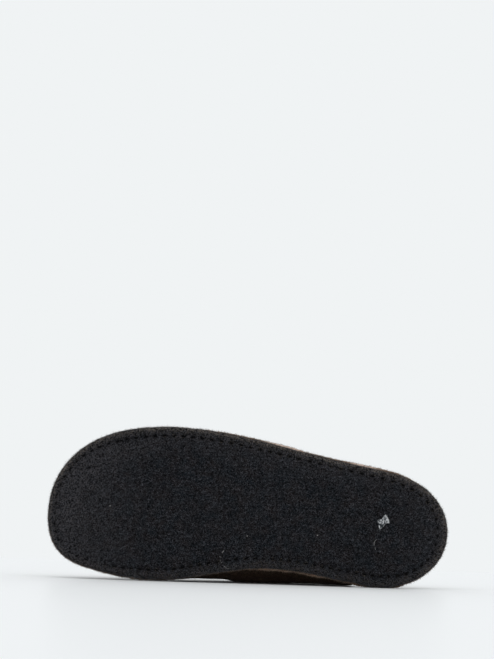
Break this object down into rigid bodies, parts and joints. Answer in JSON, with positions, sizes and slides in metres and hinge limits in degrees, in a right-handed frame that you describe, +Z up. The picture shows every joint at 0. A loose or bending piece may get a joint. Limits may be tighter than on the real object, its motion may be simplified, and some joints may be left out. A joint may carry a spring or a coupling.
{
  "type": "mule slipper",
  "caption": "Left mule slipper with a seamed black felt sole, brown midsole edge, cupped footbed and hollow brown felt upper, open at the heel, lying on its inner side.",
  "frame": {"origin": "bottom centre of the bounding box, on the floor the shoe lies on", "axes": "+X from toe to heel along the sole, -Y the way the tread faces, +Z up, towards the outer side of the foot"},
  "size_m": [0.28, 0.0818, 0.1089],
  "materials": {
    "black_felt": "matt black needle felt",
    "brown_layer": "matt brown pressed felt",
    "footbed": "matt brown felt over a soft core",
    "brown_felt": "matt brown wool felt"
  },
  "bodies": {
    "root": {"outsole": "black_felt", "midsole": "brown_layer", "insole": "footbed", "upper": "brown_felt"}
  },
  "joints": []
}
